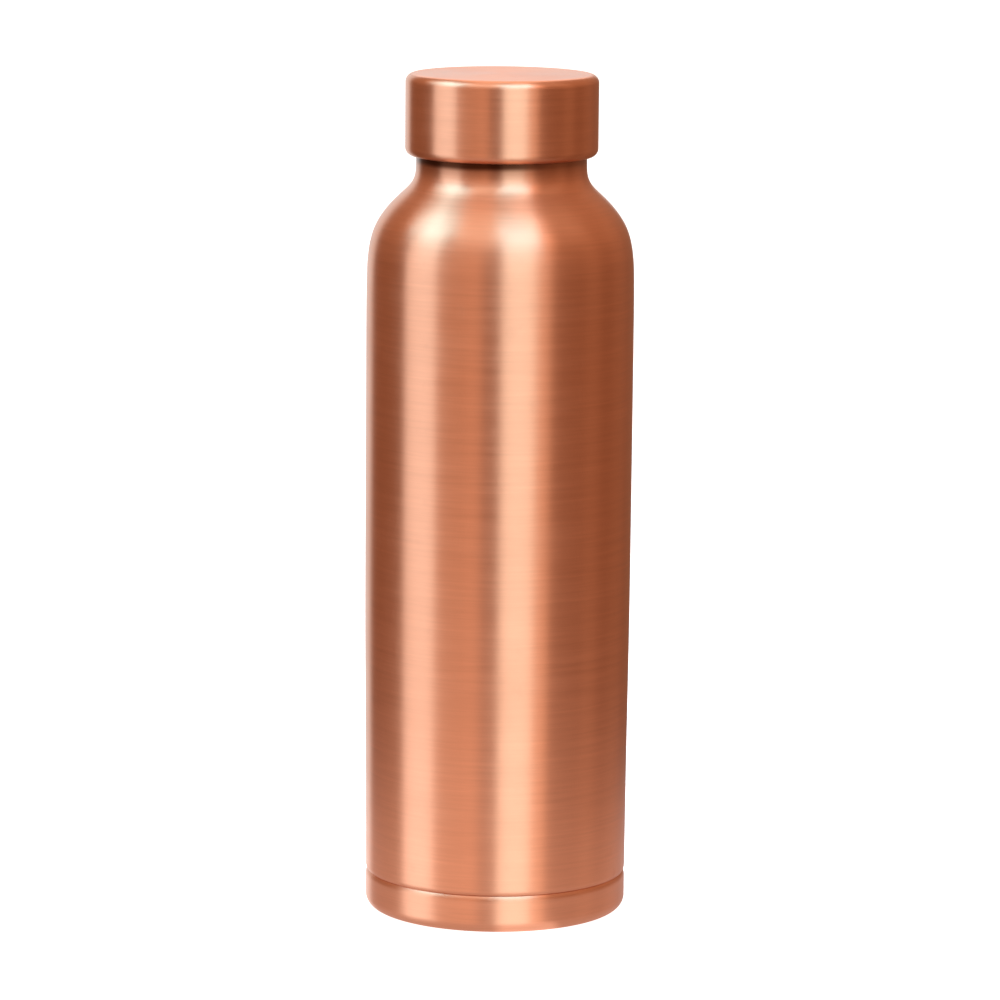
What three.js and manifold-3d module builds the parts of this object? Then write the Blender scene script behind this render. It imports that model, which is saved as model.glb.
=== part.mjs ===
// Copper water bottle with a screw cap, built as separate pieces.
// Millimetres, +Z up, origin on the floor at the centre of the base.
// Body: spun barrel, pressed base cup, thread ring and two braze fillets.
// Cap: drawn shell, threaded sleeve, seal plate and a braze fillet, with a
// silicone gasket between the seal plate and the rim of the neck.
import * as THREE from 'three';
import * as BufferGeometryUtils from 'three/addons/utils/BufferGeometryUtils.js';
import Module from 'manifold-3d';

const wasm = await Module();
wasm.setup();

// ---------------------------------------------------------------- dimensions
const SEG = 40;             // facets round every turned piece
const WALL = 0.6;           // copper sheet
const GAP = 0.3;            // clearance between touching pieces

// outside of the barrel, shoulder and neck: [radius, height]
const BARREL = [
  [35.82, 11.96], [36.00, 40], [36.40, 90], [36.50, 165], [36.40, 176.5],
  [36.05, 181.8], [35.30, 185.9], [34.00, 189.5], [32.20, 192.4], [29.85, 195.3], [27.60, 197.5],
  [25.75, 199.15], [24.45, 200.5], [23.60, 202.2], [23.24, 204.4],
];
const BARREL_END = 10.6;    // lower edge of the barrel, turned in over the joint
const TURN_IN = 2.5;
const TURN_IN_ANGLE = 32.86;
const NECK_STEP = [[23.22, 208.7], [22.15, 210.2]];   // neck drawn in under the cap
const NECK_TOP = 226.3;
const NECK_R = 22.15;
const BORE_R = 21.55;

const BASE_R = 35.82;       // outside of the base cup
const BASE_CORNER = 3.4;
const BASE_LIP = 2.6;       // rounded shoulder of the cup under the joint
const BASE_LIP_C = 8.82;
const BASE_LIP_ANGLE = 57.42;
const SPIGOT_R = 34.62;     // spigot that rises inside the barrel
const SPIGOT_TOP = 18.0;
const RECESS_Z = 3.2;       // height of the recessed underside
const STAND_IN = 29.6;      // inner edge of the standing ring
const RECESS_R = 26.6;

const THREAD_PITCH = 4.0;   // single-start right-hand thread
const THREAD_PHASE = 213.0; // height of the ridge centre at angle zero
const THREAD_TURNS = 2.6;
const RING_OUT = 23.25;     // root of the male thread
const RING_IN = 22.45;
const RING_Z0 = 211.3;
const RING_Z1 = 225.3;
const CREST_R = 24.05;      // crest of the male thread
const RIDGE_ROOT_HALF = 1.0;
const RIDGE_CREST_HALF = 0.45;

const CAP_R = 26.25;
const CAP_Z0 = 208.2;
const CAP_TOP = 230.5;
const CAP_TOP_ROUND = 2.3;
const CAP_LIP_ROUND = 2.3;  // curled-in lower edge
const CAP_MOUTH_R = 24.4;   // trimmed to pass over the neck thread

const SLEEVE_OUT = 25.3;
const SLEEVE_MINOR = 23.55; // crest of the female thread
const SLEEVE_MAJOR = 24.35; // root of the female thread
const SLEEVE_Z0 = 211.5;
const SLEEVE_Z1 = 228.3;
const SEAT_Z = 226.4;       // counterbore that holds the gasket
const FLANK_GAP = 0.36;     // axial clearance of the thread flanks

const PLATE_R = 24.5;       // chamfered to clear the corner of the shell
const PLATE_TOP_R = 23.8;
const PLATE_Z0 = 228.6;
const PLATE_Z1 = 229.5;

const GASKET_OUT = 24.0;
const GASKET_IN = 20.6;
const GASKET_Z0 = 226.6;
const GASKET_Z1 = 228.3;

// ----------------------------------------------------------------- materials
const copper = (color, roughness = 0.32) => new THREE.MeshStandardMaterial({ color, roughness, metalness: 1 });
const brushed = () => copper(0xc9805c, 0.32);
const inner = () => copper(0xb9704e, 0.45);
const braze = () => new THREE.MeshStandardMaterial({ color: 0xb89a62, roughness: 0.5, metalness: 1 });
const silicone = () => new THREE.MeshStandardMaterial({ color: 0xe6e2d8, roughness: 0.6, metalness: 0 });

// ------------------------------------------------------------------- helpers
// points of a circular arc in the (radius, height) half-plane, degrees
function arc(cr, cz, rad, a0, a1, n) {
  const out = [];
  for (let i = 0; i <= n; i++) {
    const a = THREE.MathUtils.degToRad(a0 + ((a1 - a0) * i) / n);
    out.push([cr + rad * Math.cos(a), cz + rad * Math.sin(a)]);
  }
  return out;
}

// keep each point of a profile a little away from the one before it
function tidy(points) {
  const out = [];
  for (const p of points) {
    const q = out[out.length - 1];
    if (!q || Math.hypot(p[0] - q[0], p[1] - q[1]) > 0.02) out.push(p);
  }
  return out;
}

// body of revolution from a loop in the half-plane, made closed and outward
function turned(points, closed, seg = SEG) {
  const pts = tidy(points).map(([r, z]) => new THREE.Vector2(Math.max(r, 0), z));
  if (closed) pts.push(pts[0].clone());
  const g = new THREE.LatheGeometry(pts, seg);
  g.rotateX(Math.PI / 2);
  return weld(g);
}

function weld(geometry) {
  let g = geometry.clone();
  g.deleteAttribute('normal');
  g.deleteAttribute('uv');
  g = BufferGeometryUtils.mergeVertices(g, 1e-4);
  // drop the collapsed triangles at the axis
  const idx = g.index.array;
  const keep = [];
  for (let i = 0; i < idx.length; i += 3) {
    const [a, b, c] = [idx[i], idx[i + 1], idx[i + 2]];
    if (a !== b && b !== c && a !== c) keep.push(a, b, c);
  }
  g.setIndex(keep);
  if (volume(g) < 0) {
    for (let i = 0; i < keep.length; i += 3) [keep[i + 1], keep[i + 2]] = [keep[i + 2], keep[i + 1]];
    g.setIndex(keep);
  }
  return g;
}

function volume(g) {
  const p = g.attributes.position;
  const idx = g.index.array;
  const a = new THREE.Vector3(), b = new THREE.Vector3(), c = new THREE.Vector3();
  let v = 0;
  for (let i = 0; i < idx.length; i += 3) {
    a.fromBufferAttribute(p, idx[i]);
    b.fromBufferAttribute(p, idx[i + 1]);
    c.fromBufferAttribute(p, idx[i + 2]);
    v += a.dot(b.cross(c)) / 6;
  }
  return v;
}

function toSolid(g) {
  return new wasm.Manifold(new wasm.Mesh({
    numProp: 3,
    vertProperties: new Float32Array(g.attributes.position.array),
    triVerts: new Uint32Array(g.index.array),
  }));
}

function fromSolid(solid) {
  const m = solid.getMesh();
  const pos = new Float32Array(m.numVert * 3);
  for (let i = 0; i < m.numVert; i++) {
    for (let k = 0; k < 3; k++) pos[3 * i + k] = m.vertProperties[i * m.numProp + k];
  }
  const g = new THREE.BufferGeometry();
  g.setAttribute('position', new THREE.BufferAttribute(pos, 3));
  g.setIndex(Array.from(m.triVerts));
  return g;
}

// closed helical bar: section(t) gives a quad [[r, dz] x 4] at fraction t
function helix(turns, zStart, angleStart, pitch, section, segPerTurn = SEG) {
  const n = Math.round(turns * segPerTurn);
  const pos = [];
  const idx = [];
  for (let i = 0; i <= n; i++) {
    const t = i / n;
    const ang = angleStart + (turns * 2 * Math.PI * i) / n;
    const zc = zStart + (pitch * turns * i) / n;
    for (const [r, dz] of section(t)) pos.push(r * Math.cos(ang), r * Math.sin(ang), zc + dz);
  }
  for (let i = 0; i < n; i++) {
    for (let k = 0; k < 4; k++) {
      const a = 4 * i + k, b = 4 * i + ((k + 1) % 4), c = a + 4, d = b + 4;
      idx.push(a, b, c, b, d, c);
    }
  }
  idx.push(0, 2, 1, 0, 3, 2);
  const e = 4 * n;
  idx.push(e, e + 1, e + 2, e, e + 2, e + 3);
  const g = new THREE.BufferGeometry();
  g.setAttribute('position', new THREE.BufferAttribute(new Float32Array(pos), 3));
  g.setIndex(idx);
  if (volume(g) < 0) {
    for (let i = 0; i < idx.length; i += 3) [idx[i + 1], idx[i + 2]] = [idx[i + 2], idx[i + 1]];
    g.setIndex(idx);
  }
  return g;
}

// inside of a sheet: the outer line moved in by the wall along its normal
function offsetIn(points, d) {
  return points.map((p, i) => {
    const a = points[Math.max(i - 1, 0)];
    const b = points[Math.min(i + 1, points.length - 1)];
    const tr = b[0] - a[0], tz = b[1] - a[1];
    const l = Math.hypot(tr, tz);
    return [p[0] - (d * tz) / l, p[1] + (d * tr) / l];
  });
}

function mesh(name, geometry, material) {
  geometry.computeVertexNormals();
  const m = new THREE.Mesh(geometry, material);
  m.name = name;
  return m;
}

const group = new THREE.Group();

// -------------------------------------------------------------------- bottle
// spun copper wall: barrel, shoulder, neck, open at both ends
{
  const insideLine = offsetIn(BARREL, WALL).filter((p, i) => i % 2 === 1);
  insideLine.unshift([BARREL[0][0] - WALL, BARREL_END]);
  const loop = [
    ...arc(BARREL[0][0] - TURN_IN, BARREL[0][1], TURN_IN, -TURN_IN_ANGLE, 0, 2).slice(0, -1),
    ...BARREL,
    ...NECK_STEP,
    [NECK_R, NECK_TOP - 0.25], [NECK_R - 0.25, NECK_TOP],
    [BORE_R, NECK_TOP],
    [BORE_R, 209.9], [NECK_STEP[0][0] - WALL, 208.3],
    ...insideLine.reverse(),
  ];
  group.add(mesh('body_shell', turned(loop, true), brushed()));
}

// pressed base cup: standing ring, recessed underside, spigot inside the barrel
{
  const inR = BASE_R - WALL;
  const spigotIn = SPIGOT_R - WALL;
  const loop = [
    [0, RECESS_Z], [RECESS_R, RECESS_Z], [RECESS_R + 1.6, RECESS_Z - 1.0], [STAND_IN, 0],
    [BASE_R - BASE_CORNER, 0],
    ...arc(BASE_R - BASE_CORNER, BASE_CORNER, BASE_CORNER, -90, 0, 4).slice(1),
    ...arc(BASE_R - BASE_LIP, BASE_LIP_C, BASE_LIP, 0, BASE_LIP_ANGLE, 3),
    [SPIGOT_R, SPIGOT_TOP],
    [spigotIn, SPIGOT_TOP], [spigotIn, 9.7], [inR, 8.3],
    ...arc(BASE_R - BASE_CORNER, BASE_CORNER, BASE_CORNER - WALL, 0, -90, 3),
    [STAND_IN + 0.5, WALL], [RECESS_R + 1.8, RECESS_Z - 0.1], [RECESS_R + 0.3, RECESS_Z + WALL],
    [0, RECESS_Z + WALL],
  ];
  group.add(mesh('base_cup', turned(loop, false), brushed()));
}

// braze fillet on top of the spigot, inside the barrel
group.add(mesh('base_braze_ring', turned([
  [SPIGOT_R - 0.65, SPIGOT_TOP + GAP], [SPIGOT_R + 0.04, SPIGOT_TOP + GAP], [SPIGOT_R + 0.04, SPIGOT_TOP + 1.15],
], true), braze()));

// ring with the male thread, brazed round the drawn-in neck
{
  const tube = toSolid(turned([
    [RING_IN, RING_Z0], [RING_OUT - 0.3, RING_Z0], [RING_OUT, RING_Z0 + 0.3],
    [RING_OUT, RING_Z1 - 0.3], [RING_OUT - 0.3, RING_Z1], [RING_IN, RING_Z1],
  ], true));
  const fade = 30 / 360 / THREAD_TURNS;   // the crest rises over the first 30 degrees
  const ridge = toSolid(helix(THREAD_TURNS, THREAD_PHASE, 0, THREAD_PITCH, (t) => {
    const k = Math.min(1, t / fade, (1 - t) / fade);
    const crest = RING_OUT + 0.05 + (CREST_R - RING_OUT - 0.05) * k;
    const half = RIDGE_CREST_HALF + (RIDGE_ROOT_HALF - RIDGE_CREST_HALF) * (1 - k) * 0.5;
    return [
      [RING_OUT - 0.2, -RIDGE_ROOT_HALF], [crest, -half], [crest, half], [RING_OUT - 0.2, RIDGE_ROOT_HALF],
    ];
  }));
  group.add(mesh('neck_thread_ring', fromSolid(tube.add(ridge)), inner()));
}

// braze fillet between the neck step and the thread ring
group.add(mesh('neck_braze_ring', turned([
  [RING_IN, RING_Z0 - GAP], [RING_IN, RING_Z0 - 0.95], [RING_IN + 0.6, RING_Z0 - GAP],
], true), braze()));

// ----------------------------------------------------------------------- cap
// drawn cup with a rounded top edge and a curled-in lower edge
{
  const lipC = CAP_Z0 + CAP_LIP_ROUND;
  const topC = CAP_TOP - CAP_TOP_ROUND;
  const lipEnd = (r) => Math.acos((CAP_MOUTH_R - CAP_R + CAP_LIP_ROUND) / r) * 180 / Math.PI;
  const loop = [
    [0, CAP_TOP],
    ...arc(CAP_R - CAP_TOP_ROUND, topC, CAP_TOP_ROUND, 90, 0, 4),
    ...arc(CAP_R - CAP_LIP_ROUND, lipC, CAP_LIP_ROUND, 0, -lipEnd(CAP_LIP_ROUND), 3),
    ...arc(CAP_R - CAP_LIP_ROUND, lipC, CAP_LIP_ROUND - WALL, -lipEnd(CAP_LIP_ROUND - WALL), 0, 3),
    ...arc(CAP_R - CAP_TOP_ROUND, topC, CAP_TOP_ROUND - WALL, 0, 90, 3),
    [0, CAP_TOP - WALL],
  ];
  group.add(mesh('cap_shell', turned(loop, false), brushed()));
}

// threaded sleeve inside the cap
{
  const sleeve = toSolid(turned([
    [SLEEVE_MINOR, SLEEVE_Z0 + 0.3], [SLEEVE_MINOR + 0.3, SLEEVE_Z0], [SLEEVE_OUT, SLEEVE_Z0],
    [SLEEVE_OUT, SLEEVE_Z1], [SLEEVE_MAJOR, SLEEVE_Z1], [SLEEVE_MAJOR, SEAT_Z], [SLEEVE_MINOR, SEAT_Z],
  ], true));
  // groove flanks run parallel to the ridge flanks, moved off by the clearance
  const slope = (RIDGE_ROOT_HALF - RIDGE_CREST_HALF) / (CREST_R - RING_OUT + 0.2);
  const halfAt = (r) => RIDGE_ROOT_HALF - slope * (r - RING_OUT + 0.2) + FLANK_GAP;
  const r0 = SLEEVE_MINOR - 0.6;
  const down = 1.25;                       // turns below the first ridge, out of the sleeve
  const turns = down + (SEAT_Z - THREAD_PHASE) / THREAD_PITCH;
  const groove = toSolid(helix(turns, THREAD_PHASE - down * THREAD_PITCH, -down * 2 * Math.PI, THREAD_PITCH, () => [
    [r0, -halfAt(r0)], [SLEEVE_MAJOR, -halfAt(SLEEVE_MAJOR)], [SLEEVE_MAJOR, halfAt(SLEEVE_MAJOR)], [r0, halfAt(r0)],
  ]));
  group.add(mesh('cap_thread_sleeve', fromSolid(sleeve.subtract(groove)), inner()));
}

// braze fillet under the sleeve
group.add(mesh('cap_braze_ring', turned([
  [SLEEVE_OUT - 0.6, SLEEVE_Z0 - GAP], [SLEEVE_OUT - 0.02, SLEEVE_Z0 - 1.1], [SLEEVE_OUT - 0.02, SLEEVE_Z0 - GAP],
], true), braze()));

// flat disc that the gasket bears on
group.add(mesh('cap_seal_plate', turned([
  [0, PLATE_Z0], [PLATE_R, PLATE_Z0], [PLATE_R, PLATE_Z0 + 0.3], [PLATE_TOP_R, PLATE_Z1], [0, PLATE_Z1],
], false), inner()));

// silicone gasket above the rim of the neck
group.add(mesh('cap_gasket', turned([
  [GASKET_IN, GASKET_Z0], [GASKET_OUT, GASKET_Z0], [GASKET_OUT, GASKET_Z1], [GASKET_IN, GASKET_Z1],
], true), silicone()));

export default group;
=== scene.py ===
"""Copper water bottle with a screw cap: fine surfaces, finishes, studio light and camera.

Every Blender object is in metres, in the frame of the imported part: +Z up, origin on the
floor at the centre of the base. Profiles are given in millimetres as (radius, height).
"""

import math

import bpy
import numpy as np
from mathutils import Matrix, Vector


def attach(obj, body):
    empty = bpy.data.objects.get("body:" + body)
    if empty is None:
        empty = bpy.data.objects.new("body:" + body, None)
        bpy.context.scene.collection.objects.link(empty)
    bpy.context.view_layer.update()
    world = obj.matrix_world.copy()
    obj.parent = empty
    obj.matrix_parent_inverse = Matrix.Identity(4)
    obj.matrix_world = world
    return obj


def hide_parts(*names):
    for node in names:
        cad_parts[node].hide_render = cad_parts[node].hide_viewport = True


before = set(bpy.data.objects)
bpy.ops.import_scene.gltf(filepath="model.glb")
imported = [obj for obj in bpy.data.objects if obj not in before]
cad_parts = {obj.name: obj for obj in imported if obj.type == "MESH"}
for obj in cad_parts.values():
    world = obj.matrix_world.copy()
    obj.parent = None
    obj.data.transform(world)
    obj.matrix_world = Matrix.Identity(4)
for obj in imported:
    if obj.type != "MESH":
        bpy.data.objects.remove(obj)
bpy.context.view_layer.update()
MM = 0.001

# ----------------------------------------------------------------------------------
# dimensions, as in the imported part
# ----------------------------------------------------------------------------------
WALL = 0.6
BARREL = [
    (35.82, 10.6), (36.00, 40), (36.40, 90), (36.50, 165), (36.40, 176.5),
    (36.05, 181.8), (35.30, 185.9), (34.00, 189.5), (32.20, 192.4), (29.85, 195.3), (27.60, 197.5),
    (25.75, 199.15), (24.45, 200.5), (23.60, 202.2), (23.24, 204.4), (23.22, 208.7),
]
NECK_R, BORE_R, NECK_TOP = 22.15, 21.55, 226.3
BASE_R, BASE_CORNER, BASE_LIP, BASE_LIP_C, BASE_LIP_ANGLE = 35.82, 3.4, 2.6, 8.82, 57.42
TURN_IN, TURN_IN_ANGLE, TURN_IN_Z = 2.5, 32.86, 11.96
SPIGOT_R, SPIGOT_TOP, RECESS_Z, STAND_IN, RECESS_R = 34.62, 18.0, 3.2, 29.6, 26.6
PITCH, PHASE, TURNS = 4.0, 213.0, 2.6
RING_OUT, RING_IN, RING_Z0, RING_Z1, CREST_R = 23.25, 22.45, 211.3, 225.3, 24.05
CAP_R, CAP_Z0, CAP_TOP, CAP_TOP_ROUND, CAP_LIP_ROUND, MOUTH_R = 26.25, 208.2, 230.5, 2.3, 2.3, 24.4
SLEEVE_OUT, SLEEVE_MINOR, SLEEVE_MAJOR, SLEEVE_Z0, SLEEVE_Z1, SEAT_Z = 25.3, 23.55, 24.35, 211.5, 228.3, 226.4
PLATE_R, PLATE_TOP_R, PLATE_Z0, PLATE_Z1 = 24.5, 23.8, 228.6, 229.5
GASKET_OUT, GASKET_IN, GASKET_Z0, GASKET_Z1 = 24.0, 20.6, 226.6, 228.3


# ----------------------------------------------------------------------------------
# mesh code
# ----------------------------------------------------------------------------------
def arc(cr, cz, rad, a0, a1, n):
    a = np.radians(np.linspace(a0, a1, n + 1))
    return [(cr + rad * math.cos(t), cz + rad * math.sin(t)) for t in a]


def fillet(points, radii, n=5):
    """A closed loop with each corner rounded; radii is one number or one per corner. Each arc gets a
    close support point on both sides, so smooth shading stays flat between the corners."""
    m = len(points)
    rads = [radii] * m if np.isscalar(radii) else list(radii)
    out = []
    for i in range(m):
        p = np.array(points[i], float)
        a = np.array(points[i - 1], float) - p
        b = np.array(points[(i + 1) % m], float) - p
        la, lb = np.linalg.norm(a), np.linalg.norm(b)
        ua, ub = a / la, b / lb
        ang = math.acos(max(-1, min(1, float(ua @ ub))))
        r = rads[i]
        if r <= 0 or ang > math.radians(177):
            out.append(tuple(p))
            continue
        t = min(r / math.tan(ang / 2), 0.42 * min(la, lb))
        r = t * math.tan(ang / 2)
        bis = ua + ub
        bis /= np.linalg.norm(bis)
        c = p + bis * (r / math.sin(ang / 2))
        s, e = p + ua * t, p + ub * t
        a0 = math.atan2(s[1] - c[1], s[0] - c[0])
        a1 = math.atan2(e[1] - c[1], e[0] - c[0])
        d = (a1 - a0 + math.pi) % (2 * math.pi) - math.pi
        out.append(tuple(p + ua * min(t * 1.25, 0.48 * la)))
        for k in range(n + 1):
            w = a0 + d * k / n
            out.append((c[0] + r * math.cos(w), c[1] + r * math.sin(w)))
        out.append(tuple(p + ub * min(t * 1.25, 0.48 * lb)))
    return out


def smooth_profile(points, step=0.25, sigma=1.1):
    """A fair curve through (radius, height) points: monotone cubic in height, then smoothed along its length."""
    p = np.array(points, float)
    z, r = p[:, 1], p[:, 0]
    h = np.diff(z)
    d = np.diff(r) / h
    m = np.zeros(len(z))
    for i in range(1, len(z) - 1):
        if d[i - 1] * d[i] > 0:
            w1, w2 = 2 * h[i] + h[i - 1], h[i] + 2 * h[i - 1]
            m[i] = (w1 + w2) / (w1 / d[i - 1] + w2 / d[i])
    m[0], m[-1] = d[0], d[-1]
    zs = np.arange(z[0], z[-1] + 1e-9, step)
    k = np.clip(np.searchsorted(z, zs, side="right") - 1, 0, len(z) - 2)
    t = (zs - z[k]) / h[k]
    rs = ((1 + 2 * t) * (1 - t) ** 2) * r[k] + (t * (1 - t) ** 2) * h[k] * m[k] + (t * t * (3 - 2 * t)) * r[k + 1] + (t * t * (t - 1)) * h[k] * m[k + 1]
    n = int(4 * sigma / step)
    ker = np.exp(-0.5 * (np.arange(-n, n + 1) * step / sigma) ** 2)
    ker /= ker.sum()
    lo = 2 * rs[0] - rs[1:n + 1][::-1]
    hi = 2 * rs[-1] - rs[-n - 1:-1][::-1]
    rs = np.convolve(np.concatenate([lo, rs, hi]), ker, mode="valid")
    return zs, rs


def offset(points, d):
    """The line moved to its left by d along its normal."""
    p = np.array(points, float)
    g = np.gradient(p, axis=0)
    g /= np.linalg.norm(g, axis=1)[:, None]
    return p + d * np.stack([-g[:, 1], g[:, 0]], 1)


def new_object(name, verts, faces, mats, face_mats=None):
    me = bpy.data.meshes.new(name)
    me.from_pydata([tuple(v) for v in verts], [], faces)
    for m in mats:
        me.materials.append(m)
    me.polygons.foreach_set("use_smooth", [True] * len(me.polygons))
    if face_mats is not None:
        me.polygons.foreach_set("material_index", face_mats)
    me.validate()
    me.update()
    ob = bpy.data.objects.new(name, me)
    bpy.context.scene.collection.objects.link(ob)
    return ob


def turned(name, profile, mats, seg=224, closed=True, part=None):
    """A body of revolution. profile is (radius, height) in mm, a closed loop, or an open line whose two
    ends are on the axis. part(i) gives the material of the band between points i and i+1."""
    pts = [(max(0.0, r), z) for r, z in profile]
    verts, rings = [], []
    for r, z in pts:
        if r < 1e-6:
            rings.append([len(verts)])
            verts.append((0.0, 0.0, z * MM))
        else:
            rings.append(list(range(len(verts), len(verts) + seg)))
            for k in range(seg):
                a = 2 * math.pi * k / seg
                verts.append((r * MM * math.cos(a), r * MM * math.sin(a), z * MM))
    faces, fm = [], []
    n = len(pts)
    for i in range(n if closed else n - 1):
        a, b = rings[i], rings[(i + 1) % n]
        mi = part(i) if part else 0
        if len(a) == 1 and len(b) == 1:
            continue
        for k in range(seg):
            k2 = (k + 1) % seg
            if len(a) == 1:
                f = (a[0], b[k2], b[k])
            elif len(b) == 1:
                f = (a[k], a[k2], b[0])
            else:
                f = (a[k], a[k2], b[k2], b[k])
            faces.append(f)
            fm.append(mi)
    # outward faces: signed area of the profile tells which way it runs
    s = 0.0
    for i in range(n):
        (r0, z0), (r1, z1) = pts[i], pts[(i + 1) % n]
        s += r0 * z1 - r1 * z0
    if s < 0:
        faces = [tuple(reversed(f)) for f in faces]
    return new_object(name, verts, faces, mats, fm)


def sheared_tube(name, inner, outer, z0, z1, rows, seg, mats, flip=False):
    """A tube whose wall radii are functions of angle and height: used for the two threads."""
    verts, faces = [], []
    zs = np.linspace(z0, z1, rows)
    grid = {}
    for side, fn in ((0, outer), (1, inner)):
        for j, z in enumerate(zs):
            for k in range(seg):
                a = 2 * math.pi * k / seg
                r = fn(a, z)
                grid[side, j, k] = len(verts)
                verts.append((r * MM * math.cos(a), r * MM * math.sin(a), z * MM))
    for j in range(rows - 1):
        for k in range(seg):
            k2 = (k + 1) % seg
            faces.append((grid[0, j, k], grid[0, j, k2], grid[0, j + 1, k2], grid[0, j + 1, k]))
            faces.append((grid[1, j, k2], grid[1, j, k], grid[1, j + 1, k], grid[1, j + 1, k2]))
    for k in range(seg):
        k2 = (k + 1) % seg
        faces.append((grid[0, 0, k2], grid[0, 0, k], grid[1, 0, k], grid[1, 0, k2]))
        j = rows - 1
        faces.append((grid[0, j, k], grid[0, j, k2], grid[1, j, k2], grid[1, j, k]))
    return new_object(name, verts, faces, mats)


# ----------------------------------------------------------------------------------
# materials
# ----------------------------------------------------------------------------------
class Nodes:
    def __init__(self, name):
        self.mat = bpy.data.materials.new(name)
        self.mat.use_nodes = True
        self.t = self.mat.node_tree
        self.t.nodes.clear()
        self.out = self.t.nodes.new("ShaderNodeOutputMaterial")
        self.bsdf = self.t.nodes.new("ShaderNodeBsdfPrincipled")
        self.t.links.new(self.bsdf.outputs[0], self.out.inputs[0])

    def link(self, a, b):
        self.t.links.new(a, b)

    def put(self, sock, v):
        if isinstance(v, bpy.types.NodeSocket):
            self.t.links.new(v, sock)
        else:
            sock.default_value = v

    def math(self, op, a, b=0.0, c=None, clamp=False):
        n = self.t.nodes.new("ShaderNodeMath")
        n.operation = op
        n.use_clamp = clamp
        self.put(n.inputs[0], a)
        self.put(n.inputs[1], b)
        if c is not None:
            self.put(n.inputs[2], c)
        return n.outputs[0]

    def lathe_coords(self):
        """cos and sin of the angle round the axis, the height and the radius, in metres."""
        tc = self.t.nodes.new("ShaderNodeTexCoord")
        sp = self.t.nodes.new("ShaderNodeSeparateXYZ")
        self.link(tc.outputs["Object"], sp.inputs[0])
        x, y, z = sp.outputs
        r2 = self.math("ADD", self.math("MULTIPLY", x, x), self.math("MULTIPLY", y, y))
        r = self.math("SQRT", r2)
        rc = self.math("MAXIMUM", r, 1e-5)
        return self.math("DIVIDE", x, rc), self.math("DIVIDE", y, rc), z, r

    def streaks(self, lc, along, across, detail=2.0, rough=0.5, seed=0.0):
        """Noise drawn out round the axis: 'across' is its scale per metre down the profile, 'along' per turn."""
        c, s, z, r = lc
        v = self.t.nodes.new("ShaderNodeCombineXYZ")
        self.put(v.inputs[0], self.math("MULTIPLY", c, along))
        self.put(v.inputs[1], self.math("MULTIPLY", s, along))
        self.put(v.inputs[2], self.math("MULTIPLY_ADD", z, across, seed))
        n = self.t.nodes.new("ShaderNodeTexNoise")
        n.noise_dimensions = "4D"
        self.link(v.outputs[0], n.inputs["Vector"])
        self.put(n.inputs["W"], self.math("MULTIPLY_ADD", r, across, seed * 0.37))
        n.inputs["Scale"].default_value = 1.0
        n.inputs["Detail"].default_value = detail
        n.inputs["Roughness"].default_value = rough
        return n.outputs[0]

    def cloud(self, scale, detail=3.0, rough=0.55, seed=(0.0, 0.0, 0.0)):
        tc = self.t.nodes.new("ShaderNodeTexCoord")
        mp = self.t.nodes.new("ShaderNodeMapping")
        mp.inputs["Location"].default_value = seed
        self.link(tc.outputs["Object"], mp.inputs[0])
        n = self.t.nodes.new("ShaderNodeTexNoise")
        self.link(mp.outputs[0], n.inputs["Vector"])
        n.inputs["Scale"].default_value = scale
        n.inputs["Detail"].default_value = detail
        n.inputs["Roughness"].default_value = rough
        return n.outputs[0]

    def remap(self, v, a, b, lo, hi, smooth=False):
        n = self.t.nodes.new("ShaderNodeMapRange")
        if smooth:
            n.interpolation_type = "SMOOTHSTEP"
        self.put(n.inputs[0], v)
        for i, x in enumerate((a, b, lo, hi)):
            n.inputs[i + 1].default_value = x
        return n.outputs[0]

    def mix(self, f, a, b, blend="MIX"):
        n = self.t.nodes.new("ShaderNodeMix")
        n.data_type = "RGBA"
        n.blend_type = blend
        self.put(n.inputs[0], f)
        self.put(n.inputs[6], a if isinstance(a, bpy.types.NodeSocket) else (*a, 1.0))
        self.put(n.inputs[7], b if isinstance(b, bpy.types.NodeSocket) else (*b, 1.0))
        return n.outputs[2]

    def bump(self, height, strength, distance, normal=None):
        n = self.t.nodes.new("ShaderNodeBump")
        n.inputs["Strength"].default_value = strength
        n.inputs["Distance"].default_value = distance
        self.link(height, n.inputs["Height"])
        if normal is not None:
            self.link(normal, n.inputs["Normal"])
        return n.outputs[0]


def scaled(c, k):
    return tuple(min(1.0, x * k) for x in c)


COPPER = (0.80, 0.37, 0.22)


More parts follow.
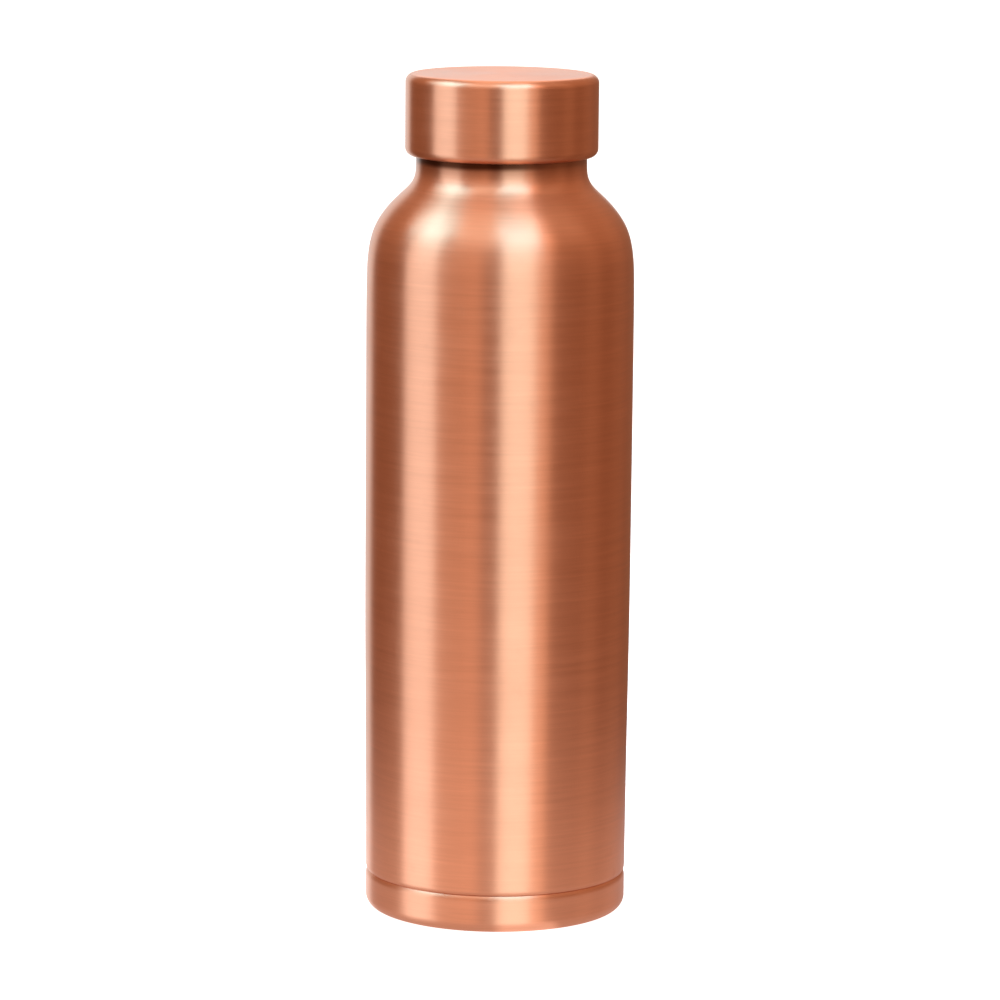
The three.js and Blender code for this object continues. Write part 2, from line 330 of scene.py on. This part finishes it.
def brushed_copper(name, base=COPPER, rough=0.335, aniso=0.82, tarnish=0.10, line=1.0, neck=False):
    """Copper brushed round the axis: hair lines, drawn-out colour and gloss changes, faint handling marks; with neck
    set, painted shade on the neck under the cap.
    """
    n = Nodes(name)
    lc = n.lathe_coords()
    fine = n.streaks(lc, 3.2, 5200.0, detail=2.0, seed=1.3)
    mid = n.streaks(lc, 1.5, 1100.0, detail=3.0, rough=0.6, seed=7.1)
    broad = n.streaks(lc, 1.3, 120.0, detail=2.0, seed=3.7)
    soft = n.cloud(26.0, detail=3.0, seed=(0.3, 0.1, 0.7))
    spots = n.cloud(210.0, detail=4.0, rough=0.6, seed=(2.3, 1.1, 0.2))
    # colour: lines a little lighter and darker, cooler and browner patches
    c = n.mix(n.remap(mid, 0.32, 0.68, 0.0, 1.0), scaled(base, 0.94), scaled(base, 1.05))
    c = n.mix(n.remap(fine, 0.3, 0.7, 0.0, 0.35), c, scaled(base, 0.92))
    warm = (base[0] * 0.93, base[1] * 0.86, base[2] * 0.80)
    c = n.mix(n.remap(soft, 0.45, 0.72, 0.0, tarnish * 2.2, smooth=True), c, warm)
    c = n.mix(n.remap(spots, 0.60, 0.78, 0.0, tarnish, smooth=True), c, scaled(base, 0.80))
    if neck:
        # painted shade on the neck close under the cap, where the cap shades it: a brown darkening, stronger on one
        # side, fading out above the lip
        a = math.radians(-28)
        side = n.math("MULTIPLY_ADD", lc[0], math.sin(a), n.math("MULTIPLY", lc[1], -math.cos(a)))
        side = n.remap(side, 0.45, 0.85, 0.55, 1.0, smooth=True)
        edge = n.math("MULTIPLY_ADD", n.math("SUBTRACT", soft, 0.5), 0.002, lc[2])
        painted_neck_shade = n.math("MULTIPLY", n.remap(edge, 0.2022, 0.2084, 0.0, 0.82, smooth=True), side)
        painted_neck_shade = n.math("MULTIPLY", painted_neck_shade, n.remap(lc[2], 0.2088, 0.2100, 1.0, 0.45, smooth=True))
        c = n.mix(painted_neck_shade, c, (0.16, 0.045, 0.016))
        # painted shadow: a near-black band at the gap under the cap's lip, fading out above the lip
        painted_gap_shadow = n.math("MULTIPLY", n.remap(edge, 0.2058, 0.2073, 0.0, 0.9, smooth=True), n.remap(side, 0.5, 1.0, 0.25, 1.0))
        painted_gap_shadow = n.math("MULTIPLY", painted_gap_shadow, n.remap(lc[2], 0.2084, 0.2094, 1.0, 0.2, smooth=True))
        c = n.mix(painted_gap_shadow, c, (0.05, 0.013, 0.005))
    n.put(n.bsdf.inputs["Base Color"], c)
    # gloss
    r = n.math("ADD", n.remap(broad, 0.3, 0.7, rough - 0.018, rough + 0.018), n.remap(mid, 0.3, 0.7, -0.022, 0.022))
    r = n.math("ADD", r, n.remap(soft, 0.35, 0.75, -0.01, 0.03))
    r = n.math("ADD", r, n.remap(spots, 0.58, 0.8, 0.0, 0.05), clamp=True)
    n.put(n.bsdf.inputs["Roughness"], r)
    n.bsdf.inputs["Metallic"].default_value = 1.0
    n.bsdf.inputs["Anisotropic"].default_value = aniso
    n.bsdf.inputs["Anisotropic Rotation"].default_value = 0.25
    tg = n.t.nodes.new("ShaderNodeTangent")
    tg.direction_type = "RADIAL"
    tg.axis = "Z"
    n.link(tg.outputs[0], n.bsdf.inputs["Tangent"])
    h = n.math("ADD", n.math("MULTIPLY", fine, 0.6), n.math("MULTIPLY", mid, 0.9))
    nb = n.bump(h, 0.10 * line, 0.00006)
    nb = n.bump(broad, 0.10, 0.00012, nb)
    n.link(nb, n.bsdf.inputs["Normal"])
    return n.mat


def plain_copper(name, base, rough=0.42, tarnish=0.25, line=1.0):
    """Copper as turned or spun, not polished: tool lines and brown tarnish."""
    n = Nodes(name)
    lc = n.lathe_coords()
    fine = n.streaks(lc, 3.0, 2600.0, detail=2.0, seed=4.3)
    soft = n.cloud(60.0, detail=4.0, seed=(1.3, 4.1, 0.7))
    c = n.mix(n.remap(fine, 0.3, 0.7, 0.0, 1.0), scaled(base, 0.90), scaled(base, 1.08))
    c = n.mix(n.remap(soft, 0.42, 0.70, 0.0, tarnish, smooth=True), c, (base[0] * 0.55, base[1] * 0.42, base[2] * 0.35))
    n.put(n.bsdf.inputs["Base Color"], c)
    n.put(n.bsdf.inputs["Roughness"], n.math("ADD", n.remap(soft, 0.3, 0.8, rough - 0.05, rough + 0.1), n.remap(fine, 0.3, 0.7, -0.03, 0.03)))
    n.bsdf.inputs["Metallic"].default_value = 1.0
    n.link(n.bump(fine, 0.25 * line, 0.00008), n.bsdf.inputs["Normal"])
    return n.mat


def braze_alloy(name):
    """Silver braze: pale yellow, lumpy and slightly dull."""
    n = Nodes(name)
    soft = n.cloud(900.0, detail=3.0)
    c = n.mix(n.remap(soft, 0.35, 0.7, 0.0, 1.0), (0.66, 0.54, 0.34), (0.50, 0.36, 0.20))
    n.put(n.bsdf.inputs["Base Color"], c)
    n.put(n.bsdf.inputs["Roughness"], n.remap(soft, 0.3, 0.7, 0.38, 0.6))
    n.bsdf.inputs["Metallic"].default_value = 1.0
    n.link(n.bump(soft, 0.5, 0.0002), n.bsdf.inputs["Normal"])
    return n.mat


def silicone(name):
    """Milky silicone rubber with a fine moulded grain."""
    n = Nodes(name)
    soft = n.cloud(420.0, detail=3.0)
    grain = n.cloud(4200.0, detail=2.0)
    c = n.mix(n.remap(soft, 0.3, 0.7, 0.0, 1.0), (0.80, 0.78, 0.73), (0.73, 0.71, 0.65))
    n.put(n.bsdf.inputs["Base Color"], c)
    n.put(n.bsdf.inputs["Roughness"], n.remap(soft, 0.3, 0.7, 0.45, 0.62))
    n.bsdf.inputs["Subsurface Weight"].default_value = 0.15
    n.bsdf.inputs["Subsurface Radius"].default_value = (0.002, 0.0018, 0.0015)
    n.link(n.bump(grain, 0.2, 0.00005), n.bsdf.inputs["Normal"])
    return n.mat


# neck=True paints shade and a shadow band on the neck under the cap
M_BODY = brushed_copper("brushed_copper_body", neck=True)
M_BASE = brushed_copper("brushed_copper_base", rough=0.34)
M_CAP = brushed_copper("brushed_copper_cap", rough=0.32)
# the cap's flat top: lower anisotropy for its spun face, and a darker base colour that is painted shade
M_CAP_TOP_SHADED = brushed_copper("brushed_copper_cap_top", base=(0.74, 0.335, 0.20), rough=0.30, aniso=0.40)
M_INSIDE = plain_copper("spun_copper_inside", (0.70, 0.32, 0.19), rough=0.45, tarnish=0.35)
M_THREAD = plain_copper("turned_copper_thread", (0.74, 0.36, 0.21), rough=0.34, tarnish=0.18)
M_UNDER = plain_copper("pressed_copper_underside", (0.76, 0.36, 0.215), rough=0.40, tarnish=0.22)
M_BRAZE = braze_alloy("braze_alloy")
M_SILICONE = silicone("silicone_rubber")

# ----------------------------------------------------------------------------------
# bottle
# ----------------------------------------------------------------------------------
zs, rs = smooth_profile(BARREL)
keep = [0]
for i in range(1, len(zs)):
    gap = 0.5 if zs[i] > 178 or zs[i] < 13 else 3.0
    if zs[i] - zs[keep[-1]] >= gap - 1e-6:
        keep.append(i)
if keep[-1] != len(zs) - 1:
    keep.append(len(zs) - 1)
outer = [(rs[i], zs[i]) for i in keep]
# bottom edge of the barrel slightly rounded, over the joint gap
outer = arc(BASE_R - TURN_IN, TURN_IN_Z, TURN_IN, -TURN_IN_ANGLE, 0, 12) + [p for p in outer if p[1] > TURN_IN_Z + 0.3]
outer = [p for p in outer if p[1] < 207.6]
inner_line = offset([(rs[i], zs[i]) for i in keep if zs[i] < 207.6], WALL)
inner_line = [tuple(p) for p in inner_line if p[1] > zs[0] + 1.5][::-1]
top = fillet([(23.22, 207.85), (23.22, 208.7), (NECK_R, 210.2), (NECK_R, NECK_TOP), (BORE_R, NECK_TOP),
              (BORE_R, 209.9), (22.62, 208.4), (22.62, 207.85)],
             [0, 0.9, 0.9, 0.28, 0.28, 0.9, 0.9, 0], n=5)
n_out = len(outer)
loop = outer + top + inner_line + [(rs[0] - WALL, zs[0] + 0.4), (rs[0] - WALL, zs[0] + 0.06), (rs[0] - WALL + 0.03, zs[0])]
inside_from = n_out + [i for i, p in enumerate(top) if abs(p[1] - NECK_TOP) < 0.02][-1] + 3
body = turned("bottle_wall", loop, [M_BODY, M_INSIDE], seg=256, part=lambda i: 1 if inside_from <= i < len(loop) - 1 else 0)
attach(body, "bottle"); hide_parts("body_shell")

inR, spI = BASE_R - WALL, SPIGOT_R - WALL
under = fillet([(RECESS_R, RECESS_Z), (STAND_IN - 1.3, RECESS_Z - 1.2), (STAND_IN, 0.0)], [0, 0, 0])
cup = (
    [(0, RECESS_Z), (12, RECESS_Z), (24, RECESS_Z), (RECESS_R - 0.6, RECESS_Z - 0.02)]
    + arc(RECESS_R, RECESS_Z - 1.1, 1.1, 90, 35, 6)[1:]
    + arc(STAND_IN + 0.5, 1.15, 1.15, 215, 270, 6)
    + [(31.2, 0.0), (BASE_R - BASE_CORNER - 0.3, 0.0)]
    + arc(BASE_R - BASE_CORNER, BASE_CORNER, BASE_CORNER, -90, 0, 16)
    + [(BASE_R, BASE_CORNER + 0.5), (BASE_R, 6.2), (BASE_R, BASE_LIP_C - 0.4)]
    + arc(BASE_R - BASE_LIP, BASE_LIP_C, BASE_LIP, 0, BASE_LIP_ANGLE - 3, 14)
    + [(SPIGOT_R + 0.02, 11.05), (SPIGOT_R, 11.15)]
    + [(SPIGOT_R, 14.0), (SPIGOT_R, SPIGOT_TOP - 0.15), (SPIGOT_R - 0.1, SPIGOT_TOP), (spI + 0.1, SPIGOT_TOP), (spI, SPIGOT_TOP - 0.15)]
)
n_cup_out = len(cup)
cup += (
    [(spI, 9.9), (spI + 0.1, 9.6), (inR - 0.1, 8.4), (inR, 8.1), (inR, 6.0)]
    + arc(BASE_R - BASE_CORNER, BASE_CORNER, BASE_CORNER - WALL, 0, -90, 10)
    + [(31.0, WALL), (STAND_IN + 0.6, WALL), (STAND_IN - 0.4, WALL + 0.5), (RECESS_R + 0.6, RECESS_Z + WALL - 0.5), (RECESS_R - 0.4, RECESS_Z + WALL), (12, RECESS_Z + WALL), (0, RECESS_Z + WALL)]
)
n_under = 4 + 6 + 7
base = turned("base_cup_fine", cup, [M_BASE, M_INSIDE, M_UNDER], seg=256, closed=False,
              part=lambda i: 2 if i < n_under else (1 if i >= n_cup_out - 1 else 0))
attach(base, "bottle"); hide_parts("base_cup")

o = turned("base_braze_fillet", fillet([(SPIGOT_R - 0.62, SPIGOT_TOP + 0.3), (SPIGOT_R + 0.04, SPIGOT_TOP + 0.3), (SPIGOT_R + 0.04, SPIGOT_TOP + 1.15)], 0.08, 3), [M_BRAZE], seg=160)
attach(o, "bottle"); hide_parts("base_braze_ring")
o = turned("neck_braze_fillet", fillet([(RING_IN, RING_Z0 - 0.3), (RING_IN, RING_Z0 - 0.95), (RING_IN + 0.6, RING_Z0 - 0.3)], 0.08, 3), [M_BRAZE], seg=160)
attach(o, "bottle"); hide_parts("neck_braze_ring")


def smooth01(t):
    t = min(1.0, max(0.0, t))
    return t * t * (3 - 2 * t)


def male(a, z):
    """Outside of the thread ring: root, ridge with sloping flanks, run-out at both ends, edge rounding."""
    best = 0.0
    for k in range(-1, 4):
        turn = a / (2 * math.pi) + k
        if not -0.02 <= turn <= TURNS + 0.02:
            continue
        zc = PHASE + PITCH * turn
        fade = smooth01(turn / 0.085) * smooth01((TURNS - turn) / 0.085)
        best = max(best, fade * smooth01((1.02 - abs(z - zc)) / 0.60))
    edge = 0.25 * (1 - smooth01((z - RING_Z0) / 0.3)) + 0.25 * (1 - smooth01((RING_Z1 - z) / 0.3))
    return RING_OUT - edge + (CREST_R - RING_OUT) * best


ring = sheared_tube("neck_thread_fine", lambda a, z: RING_IN, male, RING_Z0, RING_Z1, 118, 200, [M_THREAD])
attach(ring, "bottle"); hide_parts("neck_thread_ring")

# ----------------------------------------------------------------------------------
# cap
# ----------------------------------------------------------------------------------
lipC, topC = CAP_Z0 + CAP_LIP_ROUND, CAP_TOP - CAP_TOP_ROUND


def lip_end(r):
    return math.degrees(math.acos((MOUTH_R - CAP_R + CAP_LIP_ROUND) / r))


cap_out = (
    [(0, CAP_TOP), (8, CAP_TOP), (16, CAP_TOP), (CAP_R - CAP_TOP_ROUND - 0.5, CAP_TOP)]
    + arc(CAP_R - CAP_TOP_ROUND, topC, CAP_TOP_ROUND, 90, 0, 20)
    + [(CAP_R, topC - 0.5), (CAP_R, topC - 5), (CAP_R, (lipC + topC) / 2), (CAP_R, lipC + 5), (CAP_R, lipC + 0.4)]
    + arc(CAP_R - CAP_LIP_ROUND, lipC, CAP_LIP_ROUND, 0, -lip_end(CAP_LIP_ROUND) + 2.5, 16)
    + [(MOUTH_R + 0.03, CAP_Z0 + 0.07), (MOUTH_R, CAP_Z0 + 0.14), (MOUTH_R, CAP_Z0 + WALL - 0.08), (MOUTH_R + 0.04, CAP_Z0 + WALL + 0.05)]
)
n_cap = len(cap_out)
cap_loop = cap_out + (
    arc(CAP_R - CAP_LIP_ROUND, lipC, CAP_LIP_ROUND - WALL, -lip_end(CAP_LIP_ROUND - WALL) + 3.5, 0, 10)
    + [(CAP_R - WALL, lipC + 0.5), (CAP_R - WALL, topC - 0.5)]
    + arc(CAP_R - CAP_TOP_ROUND, topC, CAP_TOP_ROUND - WALL, 0, 90, 12)
    + [(16, CAP_TOP - WALL), (0, CAP_TOP - WALL)]
)
cap = turned("cap_shell_fine", cap_loop, [M_CAP, M_INSIDE, M_CAP_TOP_SHADED], seg=256, closed=False, part=lambda i: 2 if i < 11 else (1 if i >= n_cap - 2 else 0))
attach(cap, "cap"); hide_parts("cap_shell")


def female(a, z):
    """Bore of the sleeve: crest, helical groove, counterbore for the gasket, lead-in chamfer."""
    best = 0.0
    for k in range(-3, 6):
        turn = a / (2 * math.pi) + k
        zc = PHASE + PITCH * turn
        if zc > SEAT_Z + 1.0:
            continue
        best = max(best, smooth01((1.36 - abs(z - zc)) / 0.60))
    best = max(best, smooth01((z - SEAT_Z + 0.1) / 0.2))
    lead = 0.3 * (1 - smooth01((z - SLEEVE_Z0) / 0.35))
    return max(SLEEVE_MINOR + (SLEEVE_MAJOR - SLEEVE_MINOR) * best, SLEEVE_MINOR + lead)


sleeve = sheared_tube("cap_sleeve_fine", female, lambda a, z: SLEEVE_OUT, SLEEVE_Z0, SLEEVE_Z1, 140, 200, [M_THREAD])
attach(sleeve, "cap"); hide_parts("cap_thread_sleeve")

o = turned("cap_braze_fillet", fillet([(SLEEVE_OUT - 0.58, SLEEVE_Z0 - 0.3), (SLEEVE_OUT - 0.02, SLEEVE_Z0 - 1.08), (SLEEVE_OUT - 0.02, SLEEVE_Z0 - 0.3)], 0.08, 3), [M_BRAZE], seg=160)
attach(o, "cap"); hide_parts("cap_braze_ring")

o = turned("cap_plate_fine", [(0, PLATE_Z0), (10, PLATE_Z0), (PLATE_R - 0.35, PLATE_Z0)] + arc(PLATE_R - 0.12, PLATE_Z0 + 0.12, 0.12, -90, 0, 4)
           + [(PLATE_R, PLATE_Z0 + 0.3), (PLATE_TOP_R, PLATE_Z1 - 0.04), (PLATE_TOP_R - 0.3, PLATE_Z1), (10, PLATE_Z1), (0, PLATE_Z1)], [M_UNDER], seg=192, closed=False)
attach(o, "cap"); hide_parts("cap_seal_plate")

gasket = turned("cap_gasket_fine", fillet([(GASKET_IN, GASKET_Z0), (GASKET_OUT, GASKET_Z0), (GASKET_OUT, GASKET_Z1), (GASKET_IN, GASKET_Z1)], 0.35, 6), [M_SILICONE], seg=192)
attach(gasket, "gasket"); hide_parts("cap_gasket")


# ----------------------------------------------------------------------------------
# studio
# ----------------------------------------------------------------------------------
TARGET = Vector((0, 0, 0.115))


def direction(az, el):
    """Azimuth 0 is towards the camera (-Y), positive towards +X; elevation above the horizon."""
    a, e = math.radians(az), math.radians(el)
    return Vector((math.sin(a) * math.cos(e), -math.cos(a) * math.cos(e), math.sin(e)))


def panel(name, az, el0, el1, az_width, radiance, dist=1.25):
    """A softbox that spans the given azimuths and elevations as the bottle sees it."""
    em = (el0 + el1) / 2
    d = direction(az, em)
    L = bpy.data.lights.new(name, "AREA")
    L.shape = "RECTANGLE"
    L.size = 2 * dist * math.tan(math.radians(az_width / 2)) * math.cos(math.radians(em))
    L.size_y = 2 * dist * math.tan(math.radians((el1 - el0) / 2))
    top = max(radiance)
    L.color = tuple(x / top for x in radiance)
    L.energy = top * math.pi * L.size * L.size_y
    o = bpy.data.objects.new(name, L)
    o.location = TARGET + d * dist
    o.rotation_mode = "QUATERNION"
    o.rotation_quaternion = d.to_track_quat("Z", "Y")
    bpy.context.scene.collection.objects.link(o)
    o.visible_camera = False
    return o


# left softbox: level, upper and overhead parts
panel("softbox_left", -72.5, -36, 30, 32, (0.99, 1.26, 1.48))
panel("softbox_left_top", -74, 30, 61, 34, (1.20, 3.35, 4.85))
panel("softbox_left_back", -99, 32, 58, 16, (1.20, 2.9, 4.1))
panel("softbox_left_back_edge", -114, 34, 62, 14, (0.75, 0.70, 0.62))
panel("softbox_left_over", -74, 61, 84, 60, (0.50, 0.36, 0.28))
# right softbox, with a soft right edge
panel("softbox_right", 16, -36, 30, 29, (1.12, 1.52, 1.70))
panel("softbox_right_edge", 37, -36, 30, 13, (0.64, 0.50, 0.40))
panel("softbox_right_top", 21, 32, 66, 44, (1.20, 3.2, 4.7))
panel("softbox_right_top_edge", 49, 32, 66, 12, (1.7, 1.15, 0.85))
panel("softbox_right_over", 55, 66, 84, 40, (1.25, 0.88, 0.68))
# weak light between the two, stronger overhead
panel("fill_front", -36, -36, 28, 42, (0.30, 0.22, 0.17))
panel("fill_front_peak", -22, -36, 28, 12, (0.10, 0.06, 0.04))
panel("fill_top", -26, 36, 68, 50, (0.95, 1.15, 1.25))
panel("fill_over", -22, 68, 84, 42, (0.28, 0.17, 0.11))
# overhead light behind, for the top edges
panel("back_top", 179, 20, 80, 40, (0.98, 0.86, 0.78))
# faint strip on the right, level and upper
panel("strip_right", 87, -36, 30, 16, (0.08, 0.055, 0.04))
panel("strip_right_back", 124, -36, 30, 22, (0.05, 0.035, 0.025))
panel("strip_right_top", 84, 34, 62, 36, (0.20, 0.18, 0.16))

# world: dim warm room, pale wall behind, soft ceiling; plain white to the camera
world = bpy.data.worlds.new("studio")
bpy.context.scene.world = world
world.use_nodes = True
wt = world.node_tree
wt.nodes.clear()
wo = wt.nodes.new("ShaderNodeOutputWorld")
tc = wt.nodes.new("ShaderNodeTexCoord")
sep = wt.nodes.new("ShaderNodeSeparateXYZ")
wt.links.new(tc.outputs["Generated"], sep.inputs[0])


def w_range(sock, a, b):
    m = wt.nodes.new("ShaderNodeMapRange")
    m.interpolation_type = "SMOOTHSTEP"
    wt.links.new(sock, m.inputs[0])
    m.inputs[1].default_value, m.inputs[2].default_value = a, b
    return m.outputs[0]


def w_mix(f, a, b):
    m = wt.nodes.new("ShaderNodeMix")
    m.data_type = "RGBA"
    wt.links.new(f, m.inputs[0])
    for i, v in ((6, a), (7, b)):
        if isinstance(v, tuple):
            m.inputs[i].default_value = (*v, 1.0)
        else:
            wt.links.new(v, m.inputs[i])
    return m.outputs[2]


room = w_mix(w_range(sep.outputs[2], -0.25, 0.55), (0.26, 0.128, 0.075), (0.54, 0.30, 0.19))
room = w_mix(w_range(sep.outputs[2], 0.50, 0.95), room, (0.56, 0.34, 0.24))
room = w_mix(w_range(sep.outputs[2], 0.955, 0.99), room, (0.80, 0.66, 0.56))
# pale wall behind, a little to the left
back = wt.nodes.new("ShaderNodeVectorMath")
back.operation = "DOT_PRODUCT"
wt.links.new(tc.outputs["Generated"], back.inputs[0])
back.inputs[1].default_value = (-math.sin(math.radians(14)), math.cos(math.radians(14)), 0.0)
room = w_mix(w_range(back.outputs["Value"], 0.870, 0.955), room, (0.93, 0.95, 0.96))
bg = wt.nodes.new("ShaderNodeBackground")
wt.links.new(room, bg.inputs[0])
white = wt.nodes.new("ShaderNodeBackground")
white.inputs[0].default_value = (1, 1, 1, 1)
white.inputs[1].default_value = 1.0
lp = wt.nodes.new("ShaderNodeLightPath")
ms = wt.nodes.new("ShaderNodeMixShader")
wt.links.new(lp.outputs["Is Camera Ray"], ms.inputs[0])
wt.links.new(bg.outputs[0], ms.inputs[1])
wt.links.new(white.outputs[0], ms.inputs[2])
wt.links.new(ms.outputs[0], wo.inputs[0])


def flat_disc(name, radius, z, mat, seg=96, rings=4):
    verts = [(0, 0, z)]
    faces = []
    for j in range(1, rings + 1):
        for k in range(seg):
            a = 2 * math.pi * k / seg
            verts.append((radius * j / rings * math.cos(a), radius * j / rings * math.sin(a), z))
    for k in range(seg):
        faces.append((0, 1 + k, 1 + (k + 1) % seg))
    for j in range(rings - 1):
        b = 1 + j * seg
        for k in range(seg):
            faces.append((b + k, b + seg + k, b + seg + (k + 1) % seg, b + (k + 1) % seg))
    return new_object(name, verts, faces, [mat])


nf = Nodes("white_paper_floor")
nf.bsdf.inputs["Base Color"].default_value = (0.86, 0.86, 0.86, 1)
nf.bsdf.inputs["Roughness"].default_value = 0.9
nf.bsdf.inputs["Specular IOR Level"].default_value = 0.0
nf.bsdf.inputs["Emission Color"].default_value = (1, 1, 1, 1)
nf.bsdf.inputs["Emission Strength"].default_value = 1.05
floor = flat_disc("floor", 6.0, -0.0002, nf.mat)
floor.visible_glossy = False
floor.visible_shadow = False

# what the metal sees of the pale floor: light that fades out round the bottle
nd = Nodes("floor_glow")
nd.t.nodes.remove(nd.bsdf)
gc = nd.lathe_coords()
em = nd.t.nodes.new("ShaderNodeEmission")
em.inputs[0].default_value = (0.98, 0.95, 1.0, 1)
tcg = nd.t.nodes.new("ShaderNodeTexCoord")
dl = nd.t.nodes.new("ShaderNodeVectorMath")
dl.operation = "DISTANCE"
nd.link(tcg.outputs["Object"], dl.inputs[0])
dl.inputs[1].default_value = (0.0, 0.0, 0.0)
g1 = nd.remap(dl.outputs["Value"], 0.06, 0.28, 0.33, 0.0, smooth=True)
# dimmer close round the foot: a painted contact shadow in this light
g1 = nd.math("MULTIPLY", g1, nd.remap(gc[3], 0.040, 0.075, 0.45, 1.0, smooth=True))
dv = nd.t.nodes.new("ShaderNodeVectorMath")
dv.operation = "DISTANCE"
nd.link(tcg.outputs["Object"], dv.inputs[0])
dv.inputs[1].default_value = (-0.08, -0.195, 0.0)
g2 = nd.remap(dv.outputs["Value"], 0.05, 0.42, 0.30, 0.0, smooth=True)
az = math.radians(16)
front = nd.math("MULTIPLY_ADD", gc[0], math.sin(az), nd.math("MULTIPLY", gc[1], -math.cos(az)))
foot = nd.remap(front, 0.95, 0.985, 0.12, 0.60, smooth=True)
g3 = nd.math("MULTIPLY", nd.remap(gc[3], 0.035, 0.050, 1.0, 0.0, smooth=True), foot)
nd.link(nd.math("ADD", nd.math("ADD", g1, g2), g3), em.inputs[1])
tr = nd.t.nodes.new("ShaderNodeBsdfTransparent")
ad = nd.t.nodes.new("ShaderNodeAddShader")
nd.link(em.outputs[0], ad.inputs[0])
nd.link(tr.outputs[0], ad.inputs[1])
nd.link(ad.outputs[0], nd.out.inputs[0])
card = flat_disc("floor_card", 0.62, -0.0006, nd.mat)
card.visible_camera = False
card.visible_diffuse = False
card.visible_shadow = False

# ----------------------------------------------------------------------------------
# camera
# ----------------------------------------------------------------------------------
ELEV, DIST, F_PX = math.radians(9.4), 1.450, 5288.0
TX, TZ, ROLL = 0.00044, 0.11349, math.radians(0.55)
fwd = Vector((0, math.cos(ELEV), -math.sin(ELEV)))
right, up = Vector((1, 0, 0)), Vector((0, math.sin(ELEV), math.cos(ELEV)))
cam_data = bpy.data.cameras.new("camera")
cam_data.sensor_width = 36.0
cam_data.lens = F_PX / 1000 * 36.0
cam_data.clip_start, cam_data.clip_end = 0.05, 30
cam = bpy.data.objects.new("camera", cam_data)
bpy.context.scene.collection.objects.link(cam)
r2 = math.cos(ROLL) * right + math.sin(ROLL) * up
u2 = -math.sin(ROLL) * right + math.cos(ROLL) * up
m = Matrix((r2, u2, -fwd)).transposed().to_4x4()
m.translation = Vector((TX, 0, TZ)) - fwd * DIST
cam.matrix_world = m
bpy.context.scene.camera = cam
bpy.context.scene.view_settings.view_transform = "Standard"
bpy.context.scene.view_settings.look = "None"
